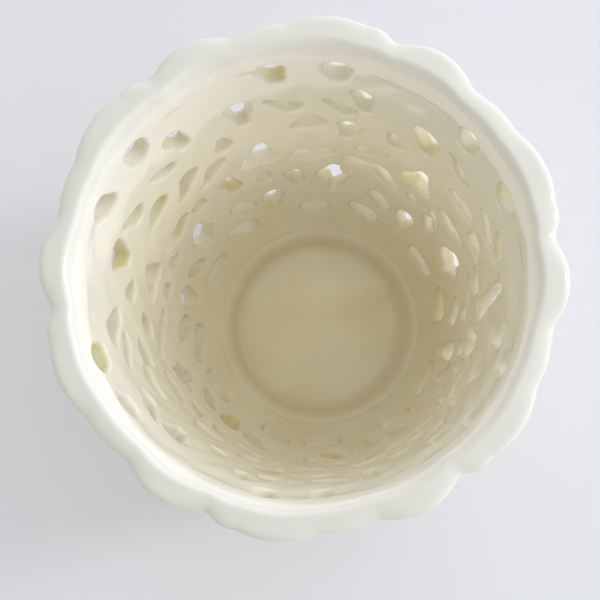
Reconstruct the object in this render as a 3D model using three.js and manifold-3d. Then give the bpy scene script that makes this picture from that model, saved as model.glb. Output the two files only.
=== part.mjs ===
// A pierced ceramic vase: a foot ring, a floor with a shallow round recess, a flared wall
// cut through by six repeats of one hand-cut motif, and a thick scalloped lip.
// Millimetres, +Z up. The origin is the middle of the foot's underside.
// Angles are degrees, clockwise from +Y as seen from above.
import * as THREE from "three";
import { mergeVertices } from "three/addons/utils/BufferGeometryUtils.js";
import Module from "manifold-3d";

// ---- driving dimensions ----
const HEIGHT = 128; // foot to the top of the lip
const WALL = 5; // thickness of the wall
const FOOT_HEIGHT = 3;
const FOOT_OUTER_RADIUS = 38.2;
const FOOT_INNER_RADIUS = 33.4;
const FOOT_TAPER = 0.6; // how much the foot narrows towards the floor
const FLOOR_TOP = 9.4; // floor outside the recess
const RECESS_RADIUS = 27.5;
const RECESS_DEPTH = 1.4;
const RECESS_SLOPE = 2; // how far the recess's side leans out
const WALL_TOP = 120; // where the lip is set on the wall
const WALL_BOTTOM = 10; // where the wall is set on the floor
const PANELS = 6; // repeats of the motif round the wall
const SEAM = 0.3; // gap between neighbouring wall panels
const FACETS = 5; // facets of the wall in one panel
const LIP_FACETS = 16; // facets of the lip in one panel
const FLOOR_FACETS = 48; // facets of the floor and the foot, all round
const COARSENESS = 2.4; // larger numbers give the openings fewer sides

const PANEL_ANGLE = 360 / PANELS;
const GLAZE = { color: 0xe9e4cf, roughness: 0.18, metalness: 0 };
const BARE_CLAY = { color: 0xd8cdb4, roughness: 0.8, metalness: 0 };

// Inside of the vase: [depth below the lip's top, radius], from the lip to the floor.
const INSIDE = [
  [8, 56.4], [15, 55.2], [27, 53.2], [49, 50.2], [62, 48.6], [80, 47],
  [92, 45.4], [99, 43.8], [106, 41], [112, 37.6], [118, 33],
];

// One scallop group of the lip: arches from one deep notch to the next.
// Middle and half width in degrees past the notch, and rise of the arch.
const NOTCH_ANGLE = 22;
const ARCHES = [
  { middle: 10.8, half: 10.8, rise: 3.2 },
  { middle: 31, half: 10.5, rise: 1.5 },
  { middle: 45, half: 14, rise: 3.4 },
  { middle: 54.4, half: 5.8, rise: 2.4 },
];

// Section of the lip in a deep notch, up its outside, over the crest and down its inside:
// depth below the top, radius, and how much of the scallops' rise that point follows.
const LIP_SECTION = [
  { depth: 8, radius: 61.9, follows: 0 },
  { depth: 6.2, radius: 62.8, follows: 0.5 },
  { depth: 3.6, radius: 64.2, follows: 0.85 },
  { depth: 1.6, radius: 63.4, follows: 0.95 },
  { depth: 0, radius: 60.6, follows: 0.8 },
  { depth: 0.6, radius: 58.9, follows: 0.53 },
  { depth: 2.6, radius: 57.7, follows: 0.45 },
  { depth: 8, radius: 56.4, follows: 0 },
];

// The motif. Each opening is one or two strokes of a round tool that widens or narrows:
// angle from the panel's middle, depth below the lip's top and radius, at both ends.
const MOTIF = {
  border_left: [[-9.3, 12.3, 3.9, -8.6, 16.8, 2.6]],
  border_right: [[8.8, 11.8, 3.9, 9.0, 15.2, 3.0]],
  heart: [[-19.3, 30.4, 4.2, -18.7, 40.6, 1.5]],
  bean: [[17.8, 27.0, 3.6, 20.0, 34.2, 1.8]],
  leaf_right: [[5.8, 32.8, 1.0, 11.8, 37.4, 2.8]],
  leaf_left: [[-12.0, 30.8, 0.7, -4.8, 37.0, 3.1]],
  seed: [[-29.7, 44.0, 0.8, -29.2, 50.0, 2.8]],
  petal_middle: [[1.2, 48.6, 4.0, -5.4, 52.8, 0.9]],
  petal_right: [[14.5, 51.5, 3.3, 10.7, 60.0, 0.9]],
  shield: [[23.8, 62.0, 2.6, 22.0, 67.2, 3.5]],
  tent: [[-18.0, 61.0, 1.0, -23.4, 73.0, 3.3], [-18.0, 61.0, 1.0, -17.2, 73.6, 3.3]],
  slash: [[15.0, 77.5, 2.2, 29.0, 87.6, 2.5]],
  twin: [[-4.2, 74.8, 3.2, -1.6, 80.5, 1.2], [3.4, 74.6, 3.2, -0.6, 80.5, 1.2]],
  bud_left: [[-20.3, 86.0, 1.2, -20.0, 90.4, 2.2]],
  bud_middle: [[-10.6, 83.5, 1.1, -8.8, 89.0, 2.4]],
  flame: [[8.7, 87.5, 1.0, 5.2, 96.0, 3.9], [8.8, 96.0, 2.4, 6.6, 101.0, 1.7]],
  dash_right: [[24.5, 100.8, 2.2, 29.6, 104.2, 2.5]],
  drop: [[-19.4, 104.0, 3.4, -19.4, 108.0, 1.6]],
  dash_left: [[-8.4, 100.8, 1.6, -4.2, 104.2, 1.9]],
  foot_slot: [[-7.6, 112.2, 1.8, 4.2, 112.0, 1.8]],
  foot_tear: [[16.5, 109.4, 1.5, 25.6, 111.8, 2.7]],
};

// Openings that the hand made differently, by panel.
const HAND_CUT = {
  1: {
    border_left: [[-5.2, 12.0, 3.7, -5.4, 15.6, 3.0]],
    border_right: [[8.9, 10.6, 4.0, 9.6, 13.2, 3.4]],
    heart: [[-17.6, 31.0, 4.0, -17.0, 41.0, 1.3]],
    bean: [[17.0, 26.5, 3.4, 22.6, 34.5, 2.4]],
    leaf_left: [[-11.3, 25.8, 0.8, -4.4, 34.0, 3.4]],
    leaf_right: [[8.0, 33.6, 1.6, 14.6, 38.6, 3.0]],
    petal_middle: [[3.2, 50.6, 4.0, -3.4, 54.8, 0.9]],
    petal_right: [[12.8, 54.0, 3.6, 9.8, 59.5, 1.4]],
    dash_left: [[-8.4, 102.6, 1.6, -4.2, 106.0, 1.9]],
    dash_right: [[24.5, 102.6, 2.2, 29.6, 106.0, 2.5]],
    foot_tear: [[14.5, 109.8, 1.4, 26.4, 112.2, 2.3]],
  },
  2: {
    border_left: [[-10.6, 11.2, 3.6, -8.0, 15.8, 3.1]],
    border_right: [[7.6, 12.2, 3.9, 7.6, 15.8, 3.4]],
    heart: [[-19.4, 31.0, 4.3, -18.6, 40.6, 1.6]],
    bean: [[17.8, 24.4, 2.9, 20.0, 32.0, 1.7]],
    leaf_left: [[-11.2, 29.6, 0.7, -5.2, 36.2, 3.1]],
    leaf_right: [[5.6, 32.6, 0.9, 11.6, 37.2, 2.7]],
    seed: [[-29.3, 43.0, 0.8, -27.6, 48.6, 2.8]],
    petal_right: [[15.6, 51.8, 3.3, 9.8, 60.6, 1.4]],
    shield: [[25.2, 59.6, 3.3, 19.6, 66.8, 1.6]],
    slash: [[25.5, 78.0, 2.4, 28.8, 87.0, 1.8]],
    speck: [[12.4, 76.6, 2.3, 13.4, 80.4, 2.3]],
    flame: [[7.2, 90.5, 1.6, 5.6, 98.4, 3.6], [9.2, 98.4, 2.4, 7.2, 102.6, 1.6]],
    dash_left: [[-8.6, 103.4, 1.6, -3.8, 106.2, 1.9]],
    drop: [[-19.6, 104.8, 3.7, -19.4, 108.8, 1.9]],
    foot_slot: [[-9.4, 113.0, 1.6, 4.4, 112.8, 1.6]],
  },
  3: {
    heart: [[-21.0, 30.0, 3.9, -20.4, 40.6, 1.3]],
    bean: [[16.2, 25.2, 3.0, 17.6, 33.4, 1.6]],
    petal_right: [[13.4, 49.6, 3.7, 12.2, 57.3, 1.6]],
    shield: [[22.5, 64.5, 3.5, 18.4, 67.5, 2.6]],
    slash: [[14.0, 79.4, 2.6, 24.0, 80.0, 3.0], [24.0, 80.0, 3.0, 30.6, 88.0, 2.4]],
    bud_middle: [[-9.0, 92.6, 2.6, -7.0, 98.6, 1.8]],
    flame: [[7.4, 88.0, 1.5, 4.8, 95.8, 3.8], [9.4, 95.4, 2.8, 7.0, 102.4, 1.5]],
    dash_left: [],
    foot_slot: [[-5.8, 112.0, 1.9, 2.6, 111.8, 2.0]],
  },
  4: {
    border_left: [[-10.2, 10.6, 3.4, -10.2, 15.4, 2.6]],
    border_right: [[8.4, 12.4, 4.2, 8.6, 16.0, 3.4]],
    heart: [[-22.2, 31.2, 4.3, -20.4, 41.4, 1.4]],
    bean: [[17.2, 29.6, 3.2, 19.9, 37.5, 1.6]],
    leaf_left: [[-12.2, 28.8, 0.7, -6.0, 34.8, 2.6]],
    leaf_right: [[8.4, 35.4, 2.9, 12.6, 39.4, 3.0]],
    seed: [[-33.0, 44.0, 1.0, -30.8, 50.4, 2.6]],
    petal_middle: [[-4.0, 50.2, 2.9, 1.6, 49.0, 3.2]],
    petal_right: [[10.6, 53.9, 2.4, 9.4, 60.0, 2.6], [10.6, 53.9, 2.4, 14.5, 59.5, 1.8]],
    shield: [[21.4, 67.4, 3.3, 22.4, 72.6, 2.7]],
    tent: [[-18.6, 59.2, 1.0, -23.6, 72.6, 3.2], [-18.6, 59.2, 1.0, -17.4, 73.4, 3.3]],
    slash: [[18.6, 79.8, 1.9, 29.2, 93.8, 2.4]],
    flame: [[8.7, 89.0, 1.7, 5.4, 97.6, 4.2], [11.5, 96.4, 2.0, 7.8, 101.8, 1.7]],
    dash_left: [[-11.4, 93.4, 2.0, -8.8, 98.4, 2.2]],
  },
  5: {
    border_left: [[-7.2, 12.6, 3.9, -7.6, 19.0, 2.6]],
    border_right: [[9.4, 13.4, 3.4, 9.8, 17.2, 2.8]],
    heart: [[-16.3, 29.6, 4.1, -16.8, 39.4, 2.6]],
    leaf_left: [[-7.0, 43.4, 2.2, -4.6, 49.4, 2.8]],
    leaf_right: [[14.4, 40.4, 1.3, 15.6, 47.4, 2.0]],
    seed: [[-32.0, 35.4, 2.0, -30.6, 50.0, 2.2], [-30.6, 50.0, 2.2, -27.6, 64.4, 3.4]],
    petal_middle: [],
    petal_right: [[6.6, 53.5, 1.4, 3.4, 63.2, 2.8]],
    tent: [[-16.6, 66.0, 1.0, -22.4, 81.0, 2.7], [-16.6, 66.0, 1.0, -15.8, 82.0, 2.9]],
    bud_left: [[-17.4, 90.6, 1.8, -17.2, 95.4, 2.5]],
    flame: [[4.8, 87.0, 1.4, 2.2, 95.6, 2.4]],
    drop: [[-16.4, 104.0, 3.3, -16.4, 108.0, 1.8]],
  },
  6: {
    border_left: [[-5.0, 13.0, 3.3, -4.4, 19.0, 2.6]],
    border_right: [[10.6, 11.8, 3.9, 10.8, 15.2, 3.0]],
    foot_tear: [[16.5, 111.0, 1.4, 25.6, 113.4, 2.2]],
  },
};

// ---- shapes ----
const wasm = await Module();
wasm.setup();

const radians = THREE.MathUtils.degToRad;

// A closed geometry as a manifold-3d solid.
function toSolid(geometry) {
  const corners = geometry.index ? geometry.toNonIndexed() : geometry;
  const bare = new THREE.BufferGeometry();
  bare.setAttribute("position", corners.getAttribute("position"));
  const merged = mergeVertices(bare);
  return new wasm.Manifold(
    new wasm.Mesh({
      numProp: 3,
      vertProperties: merged.attributes.position.array,
      triVerts: new Uint32Array(merged.index.array),
    }),
  );
}

// A manifold-3d solid as a geometry with flat faces.
function toGeometry(solid) {
  const mesh = solid.getMesh();
  const geometry = new THREE.BufferGeometry();
  geometry.setAttribute("position", new THREE.BufferAttribute(mesh.vertProperties, 3));
  geometry.setIndex(new THREE.BufferAttribute(mesh.triVerts, 1));
  const flat = geometry.toNonIndexed();
  flat.computeVertexNormals();
  return flat;
}

// A ring or disc turned about Z from [radius, height] points, listed with the body on the left.
function turned(points, facets) {
  const profile = points.map(([radius, height]) => new THREE.Vector2(radius, height));
  return new THREE.LatheGeometry(profile, facets).rotateX(Math.PI / 2);
}

// Radius of the inside of the wall at a depth below the lip's top.
function insideRadius(depth) {
  const next = Math.max(1, INSIDE.findIndex(([at]) => at >= depth));
  const [[depthA, radiusA], [depthB, radiusB]] = [INSIDE[next - 1], INSIDE[next]];
  return THREE.MathUtils.mapLinear(depth, depthA, depthB, radiusA, radiusB);
}

// Radius of the outside of the wall level with the given point of the inside.
function outsideRadius(i) {
  const [depthA, radiusA] = INSIDE[Math.max(0, i - 1)];
  const [depthB, radiusB] = INSIDE[Math.min(INSIDE.length - 1, i + 1)];
  const slope = Math.atan2(radiusA - radiusB, depthB - depthA);
  return INSIDE[i][1] + WALL / Math.cos(slope);
}

// The wall before it is divided and pierced.
function wholeWall() {
  const inner = INSIDE.map(([depth, radius]) => [radius, HEIGHT - depth]);
  const outer = INSIDE.map(([depth], i) => [outsideRadius(i), HEIGHT - depth]);
  const section = [...outer.reverse(), ...inner, outer[0]];
  return toSolid(turned(section, PANELS * FACETS));
}

// A wedge that takes one panel out of the wall, with half a seam left on each side.
function panelWedge(middle) {
  const reach = HEIGHT;
  const half = PANEL_ANGLE / 2;
  const apex = SEAM / 2 / Math.sin(radians(half));
  const corners = [-half, 0, half].map(
    (turn) => new THREE.Vector2(reach * Math.sin(radians(turn)), reach * Math.cos(radians(turn)) + apex),
  );
  const outline = new THREE.Shape([new THREE.Vector2(0, apex), ...corners]);
  const wedge = new THREE.ExtrudeGeometry(outline, { depth: HEIGHT, bevelEnabled: false });
  return toSolid(wedge.rotateZ(-radians(middle)));
}

// The two points' arcs joined by straight sides, in the plane of the wall.
function strokeOutline([angleA, depthA, radiusA, angleB, depthB, radiusB], origin) {
  const perDegree = radians(1) * insideRadius(origin.depth);
  const a = new THREE.Vector2((angleA - origin.angle) * perDegree, origin.depth - depthA);
  const b = new THREE.Vector2((angleB - origin.angle) * perDegree, origin.depth - depthB);
  const along = b.clone().sub(a);
  const lean = Math.acos((radiusA - radiusB) / along.length());
  const arc = (centre, radius, from, sweep) => {
    const steps = Math.max(1, Math.round((sweep * Math.sqrt(radius)) / COARSENESS));
    return Array.from({ length: steps + 1 }, (_, i) => {
      const turn = from + (sweep * i) / steps;
      return new THREE.Vector2(radius * Math.cos(turn), radius * Math.sin(turn)).add(centre);
    });
  };
  const heading = along.angle();
  return [
    ...arc(a, radiusA, heading + lean, 2 * Math.PI - 2 * lean),
    ...arc(b, radiusB, heading - lean, 2 * lean),
  ];
}

// A cutter for one stroke: its outline pushed straight through the wall towards the axis.
function strokeCutter(stroke, panelMiddle) {
  const origin = { angle: (stroke[0] + stroke[3]) / 2, depth: (stroke[1] + stroke[4]) / 2 };
  const reach = 3 * WALL;
  const shape = new THREE.Shape(strokeOutline(stroke, origin));
  const cutter = new THREE.ExtrudeGeometry(shape, { depth: reach, bevelEnabled: false });
  const turn = radians(panelMiddle + origin.angle);
  const outward = new THREE.Vector3(Math.sin(turn), Math.cos(turn), 0);
  const sideways = new THREE.Vector3(outward.y, -outward.x, 0);
  const up = new THREE.Vector3(0, 0, 1);
  const middle = outward.clone().multiplyScalar(insideRadius(origin.depth) + 2 * WALL);
  middle.z = HEIGHT - origin.depth;
  const place = new THREE.Matrix4().makeBasis(sideways, up, outward.clone().negate());
  cutter.applyMatrix4(place.setPosition(middle));
  return toSolid(cutter);
}

// Every opening that can reach one panel: its own and its two neighbours'.
function openings(panel) {
  return [-1, 0, 1].flatMap((step) => {
    const number = ((panel - 1 + step + PANELS) % PANELS) + 1;
    const strokes = Object.values({ ...MOTIF, ...HAND_CUT[number] }).flat();
    return strokes.map((stroke) => ({ stroke, middle: panelMiddle(panel + step) }));
  });
}

function panelMiddle(panel) {
  return (panel - 3) * PANEL_ANGLE;
}

// ---- the pieces ----
function footRing() {
  return turned(
    [
      [FOOT_INNER_RADIUS, 0],
      [FOOT_OUTER_RADIUS, 0],
      [FOOT_OUTER_RADIUS - FOOT_TAPER, FOOT_HEIGHT],
      [FOOT_INNER_RADIUS - FOOT_TAPER, FOOT_HEIGHT],
      [FOOT_INNER_RADIUS, 0],
    ],
    FLOOR_FACETS,
  );
}

function floorDisc() {
  const wallRadius = INSIDE.at(-1)[1];
  return turned(
    [
      [0, FOOT_HEIGHT],
      [FOOT_OUTER_RADIUS - FOOT_TAPER, FOOT_HEIGHT],
      [outsideRadius(INSIDE.length - 1), WALL_BOTTOM],
      [wallRadius, WALL_BOTTOM],
      [RECESS_RADIUS + RECESS_SLOPE, FLOOR_TOP],
      [RECESS_RADIUS, FLOOR_TOP - RECESS_DEPTH],
      [0, FLOOR_TOP - RECESS_DEPTH],
    ],
    FLOOR_FACETS,
  );
}

function wallPanel(panel) {
  let solid = wholeWall().intersect(panelWedge(panelMiddle(panel)));
  for (const { stroke, middle } of openings(panel)) {
    solid = solid.subtract(strokeCutter(stroke, middle));
  }
  return toGeometry(solid);
}

// Rise of the scalloped outline at an angle: the highest of the arches there.
function scallop(angle) {
  const past = THREE.MathUtils.euclideanModulo(angle - NOTCH_ANGLE, PANEL_ANGLE);
  const rises = ARCHES.map(({ middle, half, rise }) => {
    const across = THREE.MathUtils.clamp((past - middle) / half, -1, 1);
    return rise * Math.cos((across * Math.PI) / 2);
  });
  return Math.max(...rises);
}

// The lip: its section carried round the rim, and out with the scallops.
function lip() {
  const columns = PANELS * LIP_FACETS;
  const rows = LIP_SECTION.length;
  const positions = [];
  const faces = [];
  for (let column = 0; column < columns; column += 1) {
    const angle = (column * 360) / columns;
    for (const { depth, radius, follows } of LIP_SECTION) {
      const reach = radius + follows * scallop(angle);
      positions.push(reach * Math.sin(radians(angle)), reach * Math.cos(radians(angle)), HEIGHT - depth);
    }
    for (let row = 0; row < rows; row += 1) {
      const here = column * rows;
      const there = ((column + 1) % columns) * rows;
      const next = (row + 1) % rows;
      faces.push(here + row, here + next, there + next, here + row, there + next, there + row);
    }
  }
  const geometry = new THREE.BufferGeometry();
  geometry.setAttribute("position", new THREE.Float32BufferAttribute(positions, 3));
  geometry.setIndex(faces);
  geometry.computeVertexNormals();
  return geometry;
}

// ---- the assembly ----
const group = new THREE.Group();

function addPiece(name, geometry, look) {
  const piece = new THREE.Mesh(geometry, new THREE.MeshStandardMaterial(look));
  piece.name = name;
  group.add(piece);
}

addPiece("foot_ring", footRing(), BARE_CLAY);
addPiece("floor_disc", floorDisc(), GLAZE);
for (let panel = 1; panel <= PANELS; panel += 1) {
  addPiece(`wall_panel_${panel}`, wallPanel(panel), GLAZE);
}
addPiece("scalloped_lip", lip(), GLAZE);

export default group;
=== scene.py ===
"""A pierced, cream-glazed ceramic vase seen from above, on a pale table by a window.

The glazed body is made as one continuous solid: a signed distance field of the lathe-like
shell, its scalloped lip and its hand-cut openings, meshed on a fine grid. The mesh is then
divided into the same regions as the CAD nodes, which share their border vertices and their
surface normals, so the glaze runs across every division without a seam.
"""
import math

import bpy
import numpy as np
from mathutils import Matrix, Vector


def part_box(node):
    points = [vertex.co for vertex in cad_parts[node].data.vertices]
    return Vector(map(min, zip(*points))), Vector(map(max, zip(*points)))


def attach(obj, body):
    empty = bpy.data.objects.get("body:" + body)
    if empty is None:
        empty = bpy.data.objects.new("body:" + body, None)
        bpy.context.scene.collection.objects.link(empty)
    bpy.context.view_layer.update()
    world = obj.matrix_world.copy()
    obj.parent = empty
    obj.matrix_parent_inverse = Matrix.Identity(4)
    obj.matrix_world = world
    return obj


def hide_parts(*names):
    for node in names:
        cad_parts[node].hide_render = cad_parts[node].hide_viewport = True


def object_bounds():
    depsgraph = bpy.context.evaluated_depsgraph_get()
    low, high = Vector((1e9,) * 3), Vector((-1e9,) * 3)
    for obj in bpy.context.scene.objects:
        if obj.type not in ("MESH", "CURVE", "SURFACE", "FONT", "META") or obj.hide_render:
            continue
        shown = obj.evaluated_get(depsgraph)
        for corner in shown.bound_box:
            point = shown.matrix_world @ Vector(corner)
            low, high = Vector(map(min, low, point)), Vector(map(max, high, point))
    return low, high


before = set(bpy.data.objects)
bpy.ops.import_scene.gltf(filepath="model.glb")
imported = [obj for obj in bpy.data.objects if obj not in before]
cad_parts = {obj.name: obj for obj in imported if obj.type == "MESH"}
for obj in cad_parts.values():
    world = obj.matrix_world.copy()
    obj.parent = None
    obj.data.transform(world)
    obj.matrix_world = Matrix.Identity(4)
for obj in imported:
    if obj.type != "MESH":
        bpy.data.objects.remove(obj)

cad_low, cad_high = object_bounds()

# ---- sizes, in millimetres and degrees; angles run clockwise from +Y, seen from above ----
MM = 0.001
HEIGHT = cad_high.z / MM
WALL = 5.0
FOOT_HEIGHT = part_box("foot_ring")[1].z / MM
FOOT_OUTER_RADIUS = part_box("foot_ring")[1].x / MM
FOOT_INNER_RADIUS = FOOT_OUTER_RADIUS - 4.8
FOOT_ROUND = 0.6
ACROSS_AXIS = -9.0  # a radius past the vase's axis, which closes the section's outline
FLOOR_TOP = 9.4
RECESS_RADIUS = 27.5
RECESS_DEPTH = 1.4
RECESS_SOFTNESS = 2.4
WALL_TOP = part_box("scalloped_lip")[0].z / MM
WALL_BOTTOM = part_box("floor_disc")[1].z / MM
PANELS = 6
PANEL_ANGLE = 360.0 / PANELS

CELL = 0.62  # spacing of the grid that the surface is meshed on
EDGE_ROUND = 1.4  # how softly the glaze rounds the cut edges
STROKE_BLEND = 1.6  # how softly two strokes of one opening run together
CUT_TAPER = 0.08  # how fast an opening narrows towards the outside of the wall
OUTSIDE_TINT = 0.12  # how warm the glaze is outside, where one is the floor's colour

# Inside of the vase: depth below the lip's top and radius, from the crest to the floor.
INSIDE = [
    (0, 59.9), (0.4, 59.1), (1.2, 58.4), (2.6, 57.7), (4.8, 57.0), (8, 56.3), (15, 55.2),
    (27, 53.2), (49, 50.2), (62, 48.6), (80, 47), (92, 45.4), (99, 43.8), (106, 41),
    (112, 37.6), (116, 34.4), (118.1, 31.6),
]
# Outside of the lip, which curls over: depth and radius, from the wall to the crest.
LIP_OUTSIDE = [
    (12, 60.9), (8.5, 61.8), (6.2, 62.8), (4.8, 63.7), (3.2, 64.2), (1.8, 64.15), (0.85, 63.55),
    (0.3, 62.4), (0.08, 61.2),
]

# One scallop group of the lip: arches from one deep notch to the next.
# Middle and half width in degrees past the notch, and rise of the arch.
NOTCH_ANGLE = 22.0
ARCHES = [(10.8, 10.8, 3.2), (31, 10.5, 1.5), (45, 14, 3.4), (54.4, 5.8, 2.4)]
ARCH_BLEND = 0.7
HIGHEST_ARCH = 3.4
INNER_SHARE = 0.32  # how much of the scallops' rise the crest and the inside of the lip follow
LIP_DIP = 0.3  # how much lower the lip is in a notch than on an arch
# Moulded line under the lip, in arches like those above.
RIDGE_ARCHES = [(16, 13, 2.0), (46, 17, 2.2)]
RIDGE_DEPTH = 10.8
RIDGE_STEP = 0.24
RIDGE_SOFTNESS = 2.0

# Where one kind of surface gives way to the next: from nothing of it to all of it.
WOBBLE_HEIGHTS = (14, 30)  # above the floor's corner, where the wall gets uneven
WOBBLE_DEPTHS = (6, 16)  # below the lip, where the wall gets uneven
LIP_DEPTHS = (0.8, 12)  # where the scallops fade into the wall
LIP_RADII = (61.5, 66.5)  # from the crest to the scalloped edge
RIDGE_FADE_DEPTHS = (14, 26)  # where the wall is back in line below the moulded line
RIDGE_RADII = (57, 60)  # the moulded line is only on the inside
TINT_DEPTHS = (4, 20)  # where the outside takes its colour

# The motif. Each opening is one or two strokes of a round tool that widens or narrows:
# angle from the panel's middle, depth below the lip's top and radius, at both ends.
MOTIF = {
    "border_left": [(-9.3, 12.3, 3.9, -8.6, 16.8, 2.6)],
    "border_right": [(8.8, 11.8, 3.9, 9.0, 15.2, 3.0)],
    "heart": [(-19.3, 30.4, 4.2, -18.7, 40.6, 1.5)],
    "bean": [(17.8, 27.0, 3.6, 20.0, 34.2, 1.8)],
    "leaf_right": [(5.8, 32.8, 1.0, 11.8, 37.4, 2.8)],
    "leaf_left": [(-12.0, 30.8, 0.7, -4.8, 37.0, 3.1)],
    "seed": [(-29.7, 44.0, 0.8, -29.2, 50.0, 2.8)],
    "petal_middle": [(1.2, 48.6, 4.0, -5.4, 52.8, 0.9)],
    "petal_right": [(14.5, 51.5, 3.3, 10.7, 60.0, 0.9)],
    "shield": [(23.8, 62.0, 2.6, 22.0, 67.2, 3.5)],
    "tent": [(-18.0, 61.0, 1.0, -23.4, 73.0, 3.3), (-18.0, 61.0, 1.0, -17.2, 73.6, 3.3)],
    "slash": [(15.0, 77.5, 2.2, 29.0, 87.6, 2.5)],
    "twin": [(-4.2, 74.8, 3.2, -1.6, 80.5, 1.2), (3.4, 74.6, 3.2, -0.6, 80.5, 1.2)],
    "bud_left": [(-20.3, 86.0, 1.2, -20.0, 90.4, 2.2)],
    "bud_middle": [(-10.6, 83.5, 1.1, -8.8, 89.0, 2.4)],
    "flame": [(8.7, 87.5, 1.0, 5.2, 96.0, 3.9), (8.8, 96.0, 2.4, 6.6, 101.0, 1.7)],
    "dash_right": [(24.5, 100.8, 2.2, 29.6, 104.2, 2.5)],
    "drop": [(-19.4, 104.0, 3.4, -19.4, 108.0, 1.6)],
    "dash_left": [(-8.4, 100.8, 1.6, -4.2, 104.2, 1.9)],
    "foot_slot": [(-7.6, 112.2, 1.8, 4.2, 112.0, 1.8)],
    "foot_tear": [(16.5, 109.4, 1.5, 25.6, 111.8, 2.7)],
}

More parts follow.
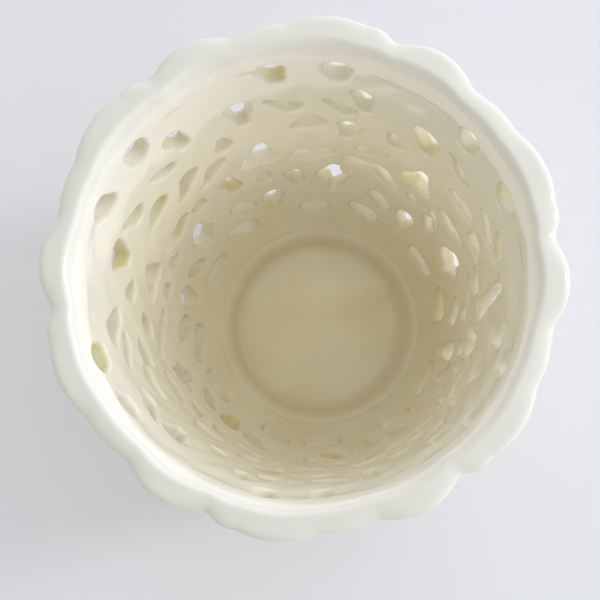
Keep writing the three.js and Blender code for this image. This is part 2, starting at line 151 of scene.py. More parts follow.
# Openings that the hand made differently, by panel.
HAND_CUT = {
    1: {
        "border_left": [(-5.2, 12.0, 3.7, -5.4, 15.6, 3.0)],
        "border_right": [(8.9, 10.6, 4.0, 9.6, 13.2, 3.4)],
        "heart": [(-17.6, 31.0, 4.0, -17.0, 41.0, 1.3)],
        "bean": [(17.0, 26.5, 3.4, 22.6, 34.5, 2.4)],
        "leaf_left": [(-11.3, 25.8, 0.8, -4.4, 34.0, 3.4)],
        "leaf_right": [(8.0, 33.6, 1.6, 14.6, 38.6, 3.0)],
        "petal_middle": [(3.2, 50.6, 4.0, -3.4, 54.8, 0.9)],
        "petal_right": [(12.8, 54.0, 3.6, 9.8, 59.5, 1.4)],
        "dash_left": [(-8.4, 102.6, 1.6, -4.2, 106.0, 1.9)],
        "dash_right": [(24.5, 102.6, 2.2, 29.6, 106.0, 2.5)],
        "foot_tear": [(14.5, 109.8, 1.4, 26.4, 112.2, 2.3)],
    },
    2: {
        "border_left": [(-10.6, 11.2, 3.6, -8.0, 15.8, 3.1)],
        "border_right": [(7.6, 12.2, 3.9, 7.6, 15.8, 3.4)],
        "heart": [(-19.4, 31.0, 4.3, -18.6, 40.6, 1.6)],
        "bean": [(17.8, 24.4, 2.9, 20.0, 32.0, 1.7)],
        "leaf_left": [(-11.2, 29.6, 0.7, -5.2, 36.2, 3.1)],
        "leaf_right": [(5.6, 32.6, 0.9, 11.6, 37.2, 2.7)],
        "seed": [(-29.3, 43.0, 0.8, -27.6, 48.6, 2.8)],
        "petal_right": [(15.6, 51.8, 3.3, 9.8, 60.6, 1.4)],
        "shield": [(25.2, 59.6, 3.3, 19.6, 66.8, 1.6)],
        "slash": [(25.5, 78.0, 2.4, 28.8, 87.0, 1.8)],
        "speck": [(12.4, 76.6, 2.3, 13.4, 80.4, 2.3)],
        "flame": [(7.2, 90.5, 1.6, 5.6, 98.4, 3.6), (9.2, 98.4, 2.4, 7.2, 102.6, 1.6)],
        "dash_left": [(-8.6, 103.4, 1.6, -3.8, 106.2, 1.9)],
        "drop": [(-19.6, 104.8, 3.7, -19.4, 108.8, 1.9)],
        "foot_slot": [(-9.4, 113.0, 1.6, 4.4, 112.8, 1.6)],
    },
    3: {
        "heart": [(-21.0, 30.0, 3.9, -20.4, 40.6, 1.3)],
        "bean": [(16.2, 25.2, 3.0, 17.6, 33.4, 1.6)],
        "petal_right": [(13.4, 49.6, 3.7, 12.2, 57.3, 1.6)],
        "shield": [(22.5, 64.5, 3.5, 18.4, 67.5, 2.6)],
        "slash": [(14.0, 79.4, 2.6, 24.0, 80.0, 3.0), (24.0, 80.0, 3.0, 30.6, 88.0, 2.4)],
        "bud_middle": [(-9.0, 92.6, 2.6, -7.0, 98.6, 1.8)],
        "flame": [(7.4, 88.0, 1.5, 4.8, 95.8, 3.8), (9.4, 95.4, 2.8, 7.0, 102.4, 1.5)],
        "dash_left": [],
        "foot_slot": [(-5.8, 112.0, 1.9, 2.6, 111.8, 2.0)],
    },
    4: {
        "border_left": [(-10.2, 10.6, 3.4, -10.2, 15.4, 2.6)],
        "border_right": [(8.4, 12.4, 4.2, 8.6, 16.0, 3.4)],
        "heart": [(-22.2, 31.2, 4.3, -20.4, 41.4, 1.4)],
        "bean": [(17.2, 29.6, 3.2, 19.9, 37.5, 1.6)],
        "leaf_left": [(-12.2, 28.8, 0.7, -6.0, 34.8, 2.6)],
        "leaf_right": [(8.4, 35.4, 2.9, 12.6, 39.4, 3.0)],
        "seed": [(-33.0, 44.0, 1.0, -30.8, 50.4, 2.6)],
        "petal_middle": [(-4.0, 50.2, 2.9, 1.6, 49.0, 3.2)],
        "petal_right": [(10.6, 53.9, 2.4, 9.4, 60.0, 2.6), (10.6, 53.9, 2.4, 14.5, 59.5, 1.8)],
        "shield": [(21.4, 67.4, 3.3, 22.4, 72.6, 2.7)],
        "tent": [(-18.6, 59.2, 1.0, -23.6, 72.6, 3.2), (-18.6, 59.2, 1.0, -17.4, 73.4, 3.3)],
        "slash": [(18.6, 79.8, 1.9, 29.2, 93.8, 2.4)],
        "flame": [(8.7, 89.0, 1.7, 5.4, 97.6, 4.2), (11.5, 96.4, 2.0, 7.8, 101.8, 1.7)],
        "dash_left": [(-11.4, 93.4, 2.0, -8.8, 98.4, 2.2)],
    },
    5: {
        "border_left": [(-7.2, 12.6, 3.9, -7.6, 19.0, 2.6)],
        "border_right": [(9.4, 13.4, 3.4, 9.8, 17.2, 2.8)],
        "heart": [(-16.3, 29.6, 4.1, -16.8, 39.4, 2.6)],
        "leaf_left": [(-7.0, 43.4, 2.2, -4.6, 49.4, 2.8)],
        "leaf_right": [(14.4, 40.4, 1.3, 15.6, 47.4, 2.0)],
        "seed": [(-32.0, 35.4, 2.0, -30.6, 50.0, 2.2), (-30.6, 50.0, 2.2, -27.6, 64.4, 3.4)],
        "petal_middle": [],
        "petal_right": [(6.6, 53.5, 1.4, 3.4, 63.2, 2.8)],
        "tent": [(-16.6, 66.0, 1.0, -22.4, 81.0, 2.7), (-16.6, 66.0, 1.0, -15.8, 82.0, 2.9)],
        "bud_left": [(-17.4, 90.6, 1.8, -17.2, 95.4, 2.5)],
        "flame": [(4.8, 87.0, 1.4, 2.2, 95.6, 2.4)],
        "drop": [(-16.4, 104.0, 3.3, -16.4, 108.0, 1.8)],
    },
    6: {
        "border_left": [(-5.0, 13.0, 3.3, -4.4, 19.0, 2.6)],
        "border_right": [(10.6, 11.8, 3.9, 10.8, 15.2, 3.0)],
        "foot_tear": [(16.5, 111.0, 1.4, 25.6, 113.4, 2.2)],
    },
}


# ---- the distance field ----
def smooth_max(a, b, k):
    """The larger value, rounded over where the two are closer than k."""
    h = np.maximum(k - np.abs(a - b), 0) / k
    return np.maximum(a, b) + h * h * k / 4


def smooth_min(a, b, k):
    return -smooth_max(-a, -b, k)


def smooth_step(low, high, x):
    """Zero at low, one at high, with level ends."""
    t = np.clip((x - low) / (high - low), 0, 1)
    return t * t * (3 - 2 * t)


def spline(points, step):
    """A smooth curve through the points, as evenly close points."""
    p = np.array([points[0], *points, points[-1]], float)
    out = []
    for a, b, c, d in zip(p, p[1:], p[2:], p[3:]):
        count = max(2, int(np.hypot(*(c - b)) / step))
        t = (np.arange(count) / count)[:, None]
        out.append(
            0.5 * (2 * b + (c - a) * t + (2 * a - 5 * b + 4 * c - d) * t**2
                   + (3 * b - a - 3 * c + d) * t**3)
        )
    return np.vstack([*out, p[-1:]])


def body_section():
    """Closed outline of half the vase's section, as (radius, height) points."""
    inside = spline([(radius, HEIGHT - depth) for depth, radius in INSIDE], 1.0)
    along = np.gradient(inside, axis=0)
    along /= np.linalg.norm(along, axis=1)[:, None]
    outside = inside + WALL * np.column_stack([-along[:, 1], along[:, 0]])
    lip_depth, lip_radius = LIP_OUTSIDE[0]
    below_lip = outside[:, 1] < HEIGHT - lip_depth - 1
    above_foot = outside[:, 1] > 2 * FOOT_HEIGHT
    outside = outside[below_lip & above_foot]
    rim = [(radius, HEIGHT - depth) for depth, radius in LIP_OUTSIDE]
    rim = spline([*rim, tuple(inside[0])], 0.7)[::-1]
    outside = np.vstack([rim, outside])
    foot = [
        (FOOT_OUTER_RADIUS - FOOT_ROUND, FOOT_HEIGHT + 0.8),
        (FOOT_OUTER_RADIUS, FOOT_ROUND),
        (FOOT_OUTER_RADIUS - FOOT_ROUND, 0),
        (FOOT_INNER_RADIUS + FOOT_ROUND, 0),
        (FOOT_INNER_RADIUS, FOOT_ROUND),
        (FOOT_INNER_RADIUS - 0.8, FOOT_HEIGHT),
        (ACROSS_AXIS, FOOT_HEIGHT),
    ]
    across = np.linspace(-RECESS_SOFTNESS, RECESS_SOFTNESS, 9)
    sink = RECESS_DEPTH * smooth_step(RECESS_SOFTNESS, -RECESS_SOFTNESS, across)
    floor = np.column_stack([RECESS_RADIUS + across, FLOOR_TOP - sink])
    floor = np.vstack([(ACROSS_AXIS, FLOOR_TOP - RECESS_DEPTH), floor])
    return np.vstack([floor, inside[::-1], outside, foot])


class Grid2D:
    """Values on a regular grid, read between its points. The first axis may wrap round."""

    def __init__(self, low, step, values, wraps=False):
        self.low, self.step, self.values, self.wraps = low, step, values, wraps

    def __call__(self, a, b):
        a = (a - self.low[0]) / self.step[0]
        b = np.clip((b - self.low[1]) / self.step[1], 0, self.values.shape[1] - 1.001)
        if self.wraps:
            a = np.mod(a, self.values.shape[0])
        else:
            a = np.clip(a, 0, self.values.shape[0] - 1.001)
        i, j = a.astype(int), b.astype(int)
        i = np.minimum(i, self.values.shape[0] - 1)
        following = np.mod(i + 1, self.values.shape[0])
        u, v = a - i, b - j
        return (
            (self.values[i, j] * (1 - u) + self.values[following, j] * u) * (1 - v)
            + (self.values[i, j + 1] * (1 - u) + self.values[following, j + 1] * u) * v
        )


def section_field(step=0.3):
    """Signed distance to the body's section, with its corners softened."""
    outline = body_section()
    radius = np.arange(-6, 76, step)
    height = np.arange(-6, HEIGHT + 8, step)
    r, z = np.meshgrid(radius, height, indexing="ij")
    nearest = np.full(r.shape, 1e9)
    inside = np.zeros(r.shape, bool)
    for (r0, z0), (r1, z1) in zip(outline, np.roll(outline, -1, axis=0)):
        dr, dz = r1 - r0, z1 - z0
        t = np.clip(((r - r0) * dr + (z - z0) * dz) / (dr * dr + dz * dz + 1e-12), 0, 1)
        nearest = np.minimum(nearest, np.hypot(r - r0 - t * dr, z - z0 - t * dz))
        if z0 != z1:
            crosses = ((z0 > z) != (z1 > z)) & (r < r0 + (z - z0) * dr / dz)
            inside ^= crosses
    field = np.where(inside, -nearest, nearest)
    kernel = np.array([1, 2, 3, 2, 1]) / 9
    for axis in (0, 1):
        field = sum(w * np.roll(field, s, axis) for w, s in zip(kernel, (-2, -1, 0, 1, 2)))
    return Grid2D((radius[0], height[0]), (step, step), field)


def inside_radius(depth):
    """Radius of the wall's inside at a depth below the lip."""
    depths, radii = zip(*INSIDE)
    return np.interp(depth, depths, radii)


def all_strokes():
    """Every stroke round the vase, with its angles from +Y."""
    for panel in range(1, PANELS + 1):
        middle = (panel - 3) * PANEL_ANGLE
        for strokes in {**MOTIF, **HAND_CUT[panel]}.values():
            for a1, d1, r1, a2, d2, r2 in strokes:
                yield middle + a1, d1, r1, middle + a2, d2, r2


def openings_field(step=0.25):
    """Signed distance to the nearest opening, over angle and depth."""
    angles = np.arange(0, 360, step)
    depths = np.arange(0, HEIGHT, step)
    field = np.full((len(angles), len(depths)), 12.0)
    reach = 10.0
    for a1, d1, r1, a2, d2, r2 in all_strokes():
        per_degree = math.radians(inside_radius((d1 + d2) / 2) + WALL / 2)
        low = int((min(a1, a2) - reach / per_degree - 6) / step)
        high = int((max(a1, a2) + reach / per_degree + 6) / step)
        top = max(0, int((min(d1, d2) - reach) / step))
        bottom = min(len(depths), int((max(d1, d2) + reach) / step))
        columns = np.arange(low, high)
        u = ((columns * step - a1) * per_degree)[:, None]
        v = (depths[top:bottom] - d1)[None, :]
        du, dv = (a2 - a1) * per_degree, d2 - d1
        length = math.hypot(du, dv)
        du, dv = du / length, dv / length
        along = u * du + v * dv
        across = np.abs(u * dv - v * du)
        taper = (r1 - r2) / length
        level = math.sqrt(1 - taper * taper)
        key = along * level - across * taper
        distance = np.where(
            key < 0,
            np.hypot(along, across) - r1,
            np.where(
                key > length * level,
                np.hypot(along - length, across) - r2,
                along * taper + across * level - r1,
            ),
        )
        rows = np.mod(columns, len(angles))
        joined = smooth_min(field[rows, top:bottom], distance, STROKE_BLEND)
        field[rows, top:bottom] = joined
    return Grid2D((0, 0), (step, step), field, wraps=True)


def arcade(angle, arches):
    """Rise of a row of arches at an angle, run together."""
    past = np.mod(angle - NOTCH_ANGLE, PANEL_ANGLE)
    rise = np.zeros_like(past)
    for middle, half, height in arches:
        across = np.clip((past - middle) / half, -1, 1)
        rise = smooth_max(rise, height * np.cos(across * math.pi / 2), ARCH_BLEND)
    return rise


TURN = np.arange(0, 360.25, 0.25)
lip_rises = arcade(TURN, ARCHES)
ridge_rises = arcade(TURN, RIDGE_ARCHES)
section = section_field()
openings = openings_field()


def wobble(angle, height):
    """Slow unevenness of a cast and hand-finished wall."""
    turn = np.radians(angle)
    return (
        0.16 * np.sin(3 * turn + 0.045 * height + 1.0)
        + 0.12 * np.sin(7 * turn - 0.11 * height + 2.3)
        + 0.07 * np.sin(13 * turn + 0.19 * height)
        + 0.05 * np.sin(29 * turn - 0.33 * height + 0.7)
    )


def hand(angle, depth):
    """Unevenness of the hand-cut openings."""
    turn = np.radians(angle)
    return 0.1 * np.sin(31 * turn + 0.4 * depth) + 0.08 * np.sin(43 * turn - 0.6 * depth + 1.0)


def from_opening(radius, angle, depth):
    """Signed distance to the nearest opening, which narrows a little towards the outside."""
    into_wall = np.clip(radius - inside_radius(depth), 0, WALL)
    return openings(angle, depth) + hand(angle, depth) + CUT_TAPER * into_wall


def field(x, y, z):
    """Signed distance to the vase's surface."""
    radius = np.hypot(x, y)
    angle = np.mod(np.degrees(np.arctan2(x, y)), 360)
    depth = HEIGHT - z
    rise = np.interp(angle, TURN, lip_rises)
    on_wall = smooth_step(*WOBBLE_HEIGHTS, z) * smooth_step(*WOBBLE_DEPTHS, depth)
    on_lip = 1 - smooth_step(*LIP_DEPTHS, depth)
    share = INNER_SHARE + (1 - INNER_SHARE) * smooth_step(*LIP_RADII, radius)
    dip = LIP_DIP * (1 - rise / HIGHEST_ARCH) ** 2
    ridge = RIDGE_DEPTH - np.interp(angle, TURN, ridge_rises)
    below_ridge = smooth_step(ridge - RIDGE_SOFTNESS, ridge + RIDGE_SOFTNESS, depth)
    below_ridge *= 1 - smooth_step(*RIDGE_FADE_DEPTHS, depth)
    step = RIDGE_STEP * below_ridge * (1 - smooth_step(*RIDGE_RADII, radius))
    r = radius + wobble(angle, z) * on_wall - rise * share * on_lip - step
    shell = section(r, z + dip * on_lip)
    return smooth_max(shell, -from_opening(radius, angle, depth), EDGE_ROUND)


# ---- the mesh ----
PIECES = [
    "foot_ring",
    "floor_disc",
    *(f"wall_panel_{n}" for n in range(1, PANELS + 1)),
    "scalloped_lip",
]
OUTSIDE, FOOT, FLOOR, FIRST_PANEL = 0, 1, 2, 3
LIP = FIRST_PANEL + PANELS


def label_of(x, y, z):
    """Which piece a point of the vase belongs to: its place in PIECES, from one."""
    angle = np.degrees(np.arctan2(x, y)) + 2.5 * PANEL_ANGLE
    panel = FIRST_PANEL + np.mod(angle // PANEL_ANGLE, PANELS).astype(int)
    label = np.where(z > WALL_TOP, LIP, panel)
    label = np.where(z < WALL_BOTTOM, FLOOR, label)
    return np.where(z < FOOT_HEIGHT, FOOT, label)


def sample():
    """The field and the labels on the grid, with the grid's lowest corner."""
    margin = 3.0 * CELL
    low = np.array(cad_low) / MM - margin
    high = np.array(cad_high) / MM + margin
    xs, ys, zs = (np.arange(a, b, CELL) for a, b in zip(low, high))
    x, y = np.meshgrid(xs, ys, indexing="ij")
    radius = np.hypot(x, y)
    values = np.full((len(xs), len(ys), len(zs)), 9.0)
    labels = np.zeros(values.shape, np.int8)
    for k, z in enumerate(zs):
        near = section(radius, np.full_like(radius, z)) < 6
        height = np.full(near.sum(), z)
        here = field(x[near], y[near], height)
        values[:, :, k][near] = here
        named = label_of(x[near], y[near], height)
        labels[:, :, k][near] = np.where(here < 0, named, OUTSIDE)
    return low, values, labels


def surface_net():
    """Points and four-sided faces between unlike labels, with the labels on each side."""
    low, values, labels = sample()
    shape = np.array(values.shape)
    stride = np.array([shape[1] * shape[2], shape[2], 1])
    values, flat_labels = values.ravel(), labels.ravel()
    crossing_sum = np.zeros((values.size, 3))
    crossing_count = np.zeros(values.size)
    faces, sides = [], []
    for axis in range(3):
        inner = [slice(1, -2)] * 3
        following = list(inner)
        following[axis] = slice(2, -1)
        where = np.argwhere(labels[tuple(inner)] != labels[tuple(following)]) + 1
        here = where @ stride
        there = here + stride[axis]
        u, v = stride[(axis + 1) % 3], stride[(axis + 2) % 3]
        around = np.column_stack([here - u - v, here - v, here, here - u])
        faces.append(around)
        sides.append(np.column_stack([flat_labels[here], flat_labels[there]]))
        crosses = (values[here] < 0) != (values[there] < 0)
        point = where[crosses].astype(float)
        gap = values[here[crosses]] - values[there[crosses]]
        point[:, axis] += values[here[crosses]] / gap
        for cell in around[crosses].T:
            crossing_count += np.bincount(cell, minlength=values.size)
            for k in range(3):
                crossing_sum[:, k] += np.bincount(cell, point[:, k], minlength=values.size)
    faces, sides = np.vstack(faces), np.vstack(sides)
    used, quads = np.unique(faces, return_inverse=True)
    quads = quads.reshape(faces.shape)
    count = crossing_count[used]
    on_surface = count > 0
    place = np.column_stack(np.unravel_index(used, shape)) + 0.5
    place[on_surface] = crossing_sum[used[on_surface]] / count[on_surface][:, None]
    return low + place * CELL, quads, sides, on_surface


def slope(points, reach=0.1):
    """How steeply the field rises at points, and the unit normals there."""
    rise = np.zeros_like(points)
    for axis in range(3):
        step = np.zeros(3)
        step[axis] = reach
        rise[:, axis] = field(*(points + step).T) - field(*(points - step).T)
    steepness = np.linalg.norm(rise, axis=1) + 1e-9
    return steepness / (2 * reach), rise / steepness[:, None]


def settle(points, steps):
    """Moves points onto the surface."""
    for _ in range(steps):
        steepness, normal = slope(points)
        shift = np.clip(field(*points.T) / np.maximum(steepness, 0.2), -0.5 * CELL, 0.5 * CELL)
        points = points - shift[:, None] * normal
    return points


def straighten(points, labels_at):
    """Moves points that lie between two pieces onto the plane that divides them."""
    x, y, z = points.T
    for level, below, above in (
        (FOOT_HEIGHT, [FOOT], [FLOOR]),
        (WALL_BOTTOM, [FLOOR], range(FIRST_PANEL, LIP)),
        (WALL_TOP, range(FIRST_PANEL, LIP), [LIP]),
    ):
        between = labels_at[:, list(below)].any(1) & labels_at[:, list(above)].any(1)
        z[between] = level
    panels = labels_at[:, FIRST_PANEL:LIP]
    between = panels.sum(1) > 1
    angle = np.degrees(np.arctan2(x, y))[between]
    border = (np.round(angle / PANEL_ANGLE - 0.5) + 0.5) * PANEL_ANGLE
    radius = np.hypot(x, y)[between]
    x[between] = radius * np.sin(np.radians(border))
    y[between] = radius * np.cos(np.radians(border))
    return np.column_stack([x, y, z])


def bulge(points, reach=0.9):
    """How much the surface bulges out (above zero) or dents in at points."""
    total = -6 * field(*points.T)
    for axis in range(3):
        step = np.zeros(3)
        step[axis] = reach
        total += field(*(points + step).T) + field(*(points - step).T)
    return total / reach


def in_cut(points):
    """One on the walls of the openings, falling to zero on the surface around them."""
    x, y, z = points.T
    angle = np.mod(np.degrees(np.arctan2(x, y)), 360)
    return 1 - smooth_step(-0.1, 0.9, from_opening(np.hypot(x, y), angle, HEIGHT - z))


def inside_depth(points):
    """How far down the inside of the vase: zero at the lip, one at the floor, low outside."""
    x, y, z = points.T
    depth = HEIGHT - z
    past_middle = np.hypot(x, y) - inside_radius(depth) - WALL / 2
    inside = np.clip(depth / (HEIGHT - FLOOR_TOP), 0, 1)
    outside = OUTSIDE_TINT * smooth_step(*TINT_DEPTHS, depth)
    return outside + (inside - outside) * smooth_step(1.5, -1.5, past_middle)


def in_recess_corner(points):
    """One in the corner round the floor's recess, falling to zero away from it. It places a darker
    band there: partly pooled glaze, partly painted shade.
    """
    x, y, z = points.T
    away = np.abs(np.hypot(x, y) - RECESS_RADIUS)
    return (1 - smooth_step(0.5, 4.5, away)) * (z > FOOT_HEIGHT + 2) * (z < FLOOR_TOP + 1)


def body_mesh():
    """The whole vase: points, normals, faces with their two labels, and what drives the glaze."""
    points, quads, sides, on_surface = surface_net()
    labels_at = np.zeros((len(points), LIP + 1), bool)
    for side in (0, 1):
        for corner in range(4):
            labels_at[quads[:, corner], sides[:, side]] = True
    points = straighten(points, labels_at)
    for _ in range(2):
        points[on_surface] = settle(points[on_surface], 3)
        points = straighten(points, labels_at)
    normals = np.zeros_like(points)
    _, normals[on_surface] = slope(points[on_surface])
    glaze = {
        "bend": bulge(points),
        "cut": in_cut(points),
        "deep": inside_depth(points),
        "ring": in_recess_corner(points),
    }
    return points, normals, quads, sides, glaze


def mean_at_points(faces, values, count):
    """Unit mean, at each point, of the vectors at the face corners that meet there."""
    total = np.column_stack(
        [np.bincount(faces.ravel(), values[:, :, k].ravel(), minlength=count) for k in range(3)]
    )
    return total / (np.linalg.norm(total, axis=1)[:, None] + 1e-9)


def make_piece(index, points, normals, quads, sides, glaze):
    """One named piece: the faces that have its label on one side."""
    ahead = sides[:, 0] == index
    behind = sides[:, 1] == index
    faces = np.vstack([quads[ahead], quads[behind][:, ::-1]])
    neighbour = np.concatenate([sides[ahead, 1], sides[behind, 0]])
    used, corners = np.unique(faces, return_inverse=True)
    corners = corners.reshape(faces.shape)
    mesh = bpy.data.meshes.new(PIECES[index - 1])
    mesh.vertices.add(len(used))
    mesh.vertices.foreach_set("co", (points[used] * MM).astype(np.float32).ravel())
    mesh.loops.add(corners.size)
    mesh.loops.foreach_set("vertex_index", corners.astype(np.int32).ravel())
    mesh.polygons.add(len(corners))
    mesh.polygons.foreach_set("loop_start", np.arange(0, corners.size, 4, dtype=np.int32))
    mesh.polygons.foreach_set("use_smooth", np.ones(len(corners), bool))
    mesh.update(calc_edges=True)
    face_normals = np.zeros(len(corners) * 3, np.float32)
    mesh.polygons.foreach_get("normal", face_normals)
    face_normals = face_normals.reshape(-1, 1, 3).repeat(4, axis=1)
    shown = (neighbour == OUTSIDE)[:, None]
    agree = (normals[faces] * face_normals).sum(-1) > 0.5
    around = mean_at_points(faces[shown[:, 0]], face_normals[shown[:, 0]], len(points))
    smooth = np.where(agree[:, :, None], normals[faces], around[faces])
    corner_normals = np.where(shown[:, :, None], smooth, face_normals)
    mesh.normals_split_custom_set(corner_normals.reshape(-1, 3))
    for name, values in glaze.items():
        attribute = mesh.attributes.new(name, "FLOAT", "POINT")
        attribute.data.foreach_set("value", values[used].astype(np.float32))
    piece = bpy.data.objects.new(PIECES[index - 1] + "_glazed", mesh)
    bpy.context.scene.collection.objects.link(piece)
    return piece


# ---- materials ----
def node_tree(name):
    """A new material with its node tree and its shader."""
    material = bpy.data.materials.new(name)
    material.use_nodes = True
    tree = material.node_tree
    return material, tree, tree.nodes["Principled BSDF"]


def add(tree, kind, **values):
    """A new node; names of its inputs or settings give their values."""
    node = tree.nodes.new(kind)
    for name, value in values.items():
        label = name.replace("_", " ").title()
        if label in node.inputs:
            node.inputs[label].default_value = value
        else:
            setattr(node, name, value)
    return node


def ramp(tree, source, stops):
    """Colours along a value."""
    node = tree.nodes.new("ShaderNodeValToRGB")
    elements = node.color_ramp.elements
    while len(elements) < len(stops):
        elements.new(0.5)
    for element, (position, colour) in zip(elements, stops):
        element.position = position
        element.color = (*colour, 1)
    tree.links.new(source, node.inputs["Fac"])
    return node.outputs["Color"]


def mix(tree, factor, a, b, blend="MIX"):
    """Colour b over colour a, by a factor."""
    node = tree.nodes.new("ShaderNodeMix")
    node.data_type = "RGBA"
    node.blend_type = blend
    sockets = (node.inputs["Factor"], node.inputs[6], node.inputs[7])
    for socket, value in zip(sockets, (factor, a, b)):
        if isinstance(value, bpy.types.NodeSocket):
            tree.links.new(value, socket)
        else:
            socket.default_value = value if isinstance(value, float) else (*value, 1)
    return node.outputs[2]


# Glaze colours. Down the inside they go from pale at the lip to dark and warm at the floor: partly
# glaze that runs thicker downwards, partly painted light on the lit lip and painted shade deep
# inside.
PALE_IVORY = (0.81, 0.795, 0.695)
IVORY = (0.885, 0.86, 0.765)
WARM_IVORY = (0.90, 0.845, 0.69)
DEEP_GLAZE_AND_SHADE = (0.68, 0.595, 0.345)
CUT_GLAZE_AND_SHADE = (0.75, 0.68, 0.49)
POOLED_GLAZE = (0.74, 0.66, 0.36)
RECESS_POOL_AND_SHADE = (0.52, 0.44, 0.24)
BARE_CLAY = (0.74, 0.70, 0.62)
TABLE_GREY = (0.81, 0.81, 0.82)
TABLE_WHITE = (0.85, 0.85, 0.86)
GLOSSY, SATIN = 0.08, 0.26  # roughness of the glaze at the lip and on the floor
FULL_SHEEN, CUT_SHEEN = 0.5, 0.08  # strength of reflections on the wall and in the cuts
GLAZE_IOR = 1.6


def read_value(tree, name):
    """A value that is stored at the mesh's points."""
    return add(tree, "ShaderNodeAttribute", attribute_name=name).outputs["Fac"]


def rescale(tree, source, low, high, to_low, to_high):
    """A value moved from one range to another, and held within it."""
    node = add(
        tree, "ShaderNodeMapRange", from_min=low, from_max=high, to_min=to_low, to_max=to_high
    )
    tree.links.new(source, node.inputs["Value"])
    return node.outputs["Result"]


def noise(tree, place, scale, detail=3.0):
    node = add(tree, "ShaderNodeTexNoise", scale=scale, detail=detail)
    tree.links.new(place, node.inputs["Vector"])
    return node.outputs["Fac"]


def product(tree, a, b):
    node = add(tree, "ShaderNodeMath", operation="MULTIPLY")
    tree.links.new(a, node.inputs[0])
    tree.links.new(b, node.inputs[1])
    return node.outputs["Value"]


def glaze_material():
    """Glossy cream glaze: paler over edges, where it runs thin and partly as a painted highlight;
    greener where it pools; darker in the openings, round the floor's recess and down the inside,
    partly thicker glaze and partly painted shade.
    """
    material, tree, shader = node_tree("cream_glaze")
    link = tree.links.new
    place = tree.nodes.new("ShaderNodeTexCoord").outputs["Object"]
    bend, cut, deep, ring = (read_value(tree, name) for name in ("bend", "cut", "deep", "ring"))
    # Paler at the lip, darker and warmer down to the floor: partly thicker glaze, partly painted
    # light on the lip and painted shade deep inside.
    down_the_wall = [
        (0.0, PALE_IVORY), (0.03, IVORY), (0.4, WARM_IVORY), (0.75, WARM_IVORY), (1.0, DEEP_GLAZE_AND_SHADE),
    ]
    colour = ramp(tree, deep, down_the_wall)
    clouds = rescale(tree, noise(tree, place, 38.0, 4.0), 0.35, 0.7, 0.0, 0.35)
    colour = mix(tree, clouds, colour, PALE_IVORY)
    patches = rescale(tree, noise(tree, place, 55.0, 1.0), 0.53, 0.68, 0.0, 0.8)
    # Darker tan on the walls of the openings: partly thicker glaze, partly painted shade in the
    # channels.
    colour = mix(tree, rescale(tree, cut, 0.0, 1.0, 0.0, 0.6), colour, CUT_GLAZE_AND_SHADE)
    colour = mix(tree, product(tree, cut, patches), colour, POOLED_GLAZE)
    # Darker band round the floor's recess: partly pooled glaze, partly painted shade of the step.
    colour = mix(tree, rescale(tree, ring, 0.0, 1.0, 0.0, 0.7), colour, RECESS_POOL_AND_SHADE)
    pools = rescale(tree, bend, -0.6, -2.0, 0.0, 0.7)
    colour = mix(tree, pools, colour, POOLED_GLAZE)
    # Paler over bulging edges: partly thinner glaze, partly a painted highlight.
    edges = rescale(tree, bend, 0.4, 1.8, 0.0, 0.7)
    colour = mix(tree, edges, colour, PALE_IVORY)
    link(colour, shader.inputs["Base Color"])
    link(rescale(tree, deep, 0.0, 1.0, GLOSSY, SATIN), shader.inputs["Roughness"])
    sheen = rescale(tree, cut, 0.0, 1.0, FULL_SHEEN, CUT_SHEEN)
    link(sheen, shader.inputs["Specular IOR Level"])
    shader.inputs["IOR"].default_value = GLAZE_IOR
    bump = add(tree, "ShaderNodeBump", strength=0.10, distance=0.0006)
    link(noise(tree, place, 120.0), bump.inputs["Height"])
    link(bump.outputs["Normal"], shader.inputs["Normal"])
    return material


def clay_material():
    """Bare fired clay on the foot: matt and slightly grainy."""
    material, tree, shader = node_tree("bare_clay")
    link = tree.links.new
    place = tree.nodes.new("ShaderNodeTexCoord").outputs["Object"]
    grain = add(tree, "ShaderNodeTexNoise", scale=900.0, detail=6.0, roughness=0.7)
    link(place, grain.inputs["Vector"])
    darker = tuple(0.82 * c for c in BARE_CLAY)
    colour = ramp(tree, grain.outputs["Fac"], [(0.35, darker), (0.6, BARE_CLAY)])
    link(colour, shader.inputs["Base Color"])
    shader.inputs["Roughness"].default_value = 0.85
    bump = add(tree, "ShaderNodeBump", strength=0.35, distance=0.0003)
    link(grain.outputs["Fac"], bump.inputs["Height"])
    link(bump.outputs["Normal"], shader.inputs["Normal"])
    return material


def table_material():
    """Matt off-white table top with slow clouds."""
    material, tree, shader = node_tree("pale_table")
    clouds = add(tree, "ShaderNodeTexNoise", scale=3.0, detail=2.0)
    tree.links.new(tree.nodes.new("ShaderNodeTexCoord").outputs["Object"], clouds.inputs["Vector"])
    colour = ramp(tree, clouds.outputs["Fac"], [(0.3, TABLE_GREY), (0.7, TABLE_WHITE)])
    tree.links.new(colour, shader.inputs["Base Color"])
    shader.inputs["Roughness"].default_value = 0.7
    return material


# ---- the object ----
def build_vase():
    glaze, clay = glaze_material(), clay_material()
    points, normals, quads, sides, values = body_mesh()
    for index, name in enumerate(PIECES, start=1):
        piece = make_piece(index, points, normals, quads, sides, values)
        piece.data.materials.append(clay if name == "foot_ring" else glaze)
        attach(piece, "root")
        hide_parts(name)


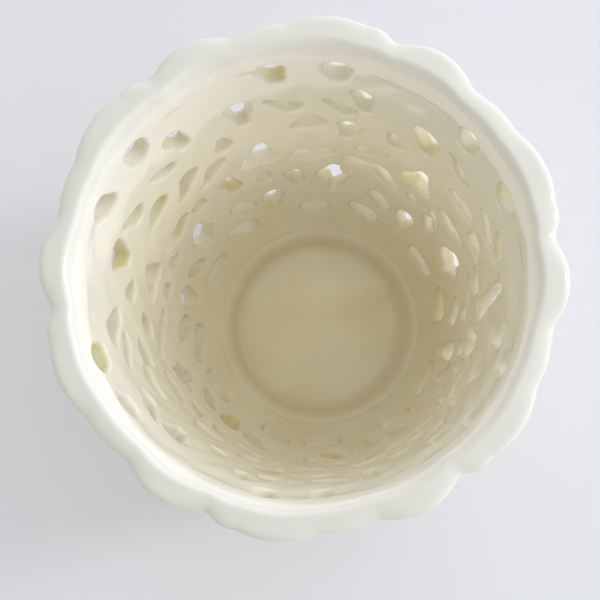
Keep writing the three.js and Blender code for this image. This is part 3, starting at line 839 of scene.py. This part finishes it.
# ---- the room, in metres ----
TABLE_REACH = 3.0
WALL_LIGHT = (1.10, 1.095, 1.08)
CEILING_LIGHT = (0.57, 0.555, 0.52)
FAR_SIDE_SHADE = (0.60, 0.575, 0.53)
WINDOW_SIDE_SHADE = (1.62, 1.71, 1.97)
TO_WINDOW = (0.87, 0.5, 0)
WINDOW_PLACE, WINDOW_AIM, WINDOW_SIZE = (1.4, 0.25, 1.0), (0, 0, 0.1), (0.3, 0.8)
WINDOW_WATTS, WINDOW_COLOUR = 6.0, (0.92, 0.96, 1.0)
FILL_PLACE, FILL_WATTS, FILL_RADIUS = (-0.010, 0.014, 0.076), 0.009, 0.02
CAMERA_PLACE = (0.0189, -0.0592, 0.528)
CAMERA_TILT, CAMERA_ROLL = 7.4223, 2.7717  # degrees about X and about Y
CAMERA_LENS, CAMERA_SENSOR = 96.7, 36.0  # millimetres


def build_table():
    mesh = bpy.data.meshes.new("table")
    side = TABLE_REACH
    corners = [(-side, -side, 0), (side, -side, 0), (side, side, 0), (-side, side, 0)]
    mesh.from_pydata(corners, [], [(0, 1, 2, 3)])
    table = bpy.data.objects.new("table", mesh)
    bpy.context.scene.collection.objects.link(table)
    mesh.materials.append(table_material())


def soft_light(name, place, target, size, watts, colour):
    """A rectangle of light that faces a point."""
    light = bpy.data.lights.new(name, "AREA")
    light.shape = "RECTANGLE"
    light.size, light.size_y = size
    light.energy = watts
    light.color = colour
    holder = bpy.data.objects.new(name, light)
    bpy.context.scene.collection.objects.link(holder)
    holder.location = place
    aim = Vector(target) - Vector(place)
    holder.rotation_euler = aim.to_track_quat("-Z", "Y").to_euler()


def fill_light(place, watts, radius):
    """Lifts the shade inside the vase, and shows in no reflection."""
    light = bpy.data.lights.new("fill", "POINT")
    light.energy = watts
    light.shadow_soft_size = radius
    light.specular_factor = 0.0
    holder = bpy.data.objects.new("fill", light)
    bpy.context.scene.collection.objects.link(holder)
    holder.location = place
    holder.visible_camera = False


def share_along(tree, direction, axis):
    """How far a direction points along an axis, from -1 to 1."""
    node = add(tree, "ShaderNodeVectorMath", operation="DOT_PRODUCT")
    tree.links.new(direction, node.inputs[0])
    node.inputs[1].default_value = axis
    return node.outputs["Value"]


def build_light():
    """A window on one side, a little fill inside the vase, and pale walls all round."""
    soft_light("window", WINDOW_PLACE, WINDOW_AIM, WINDOW_SIZE, WINDOW_WATTS, WINDOW_COLOUR)
    fill_light(FILL_PLACE, FILL_WATTS, FILL_RADIUS)
    world = bpy.data.worlds.new("room")
    bpy.context.scene.world = world
    world.use_nodes = True
    tree = world.node_tree
    direction = tree.nodes.new("ShaderNodeTexCoord").outputs["Generated"]
    upward = share_along(tree, direction, (0, 0, 1))
    up = ramp(tree, upward, [(0.0, WALL_LIGHT), (0.95, CEILING_LIGHT)])
    aside = rescale(tree, share_along(tree, direction, TO_WINDOW), -1.0, 1.0, 0.0, 1.0)
    aside = ramp(tree, aside, [(0.1, FAR_SIDE_SHADE), (0.9, WINDOW_SIDE_SHADE)])
    light = mix(tree, 1.0, up, aside, "MULTIPLY")
    tree.links.new(light, tree.nodes["Background"].inputs["Color"])


def build_camera():
    """Looks down into the vase from a little in front of it, from half a metre up."""
    data = bpy.data.cameras.new("camera")
    data.lens = CAMERA_LENS
    data.sensor_width = CAMERA_SENSOR
    data.clip_start = 0.01
    camera = bpy.data.objects.new("camera", data)
    bpy.context.scene.collection.objects.link(camera)
    camera.location = CAMERA_PLACE
    camera.rotation_euler = (math.radians(CAMERA_TILT), math.radians(CAMERA_ROLL), 0)
    bpy.context.scene.camera = camera
    bpy.context.scene.view_settings.view_transform = "Standard"


build_camera()
build_table()
build_light()
build_vase()
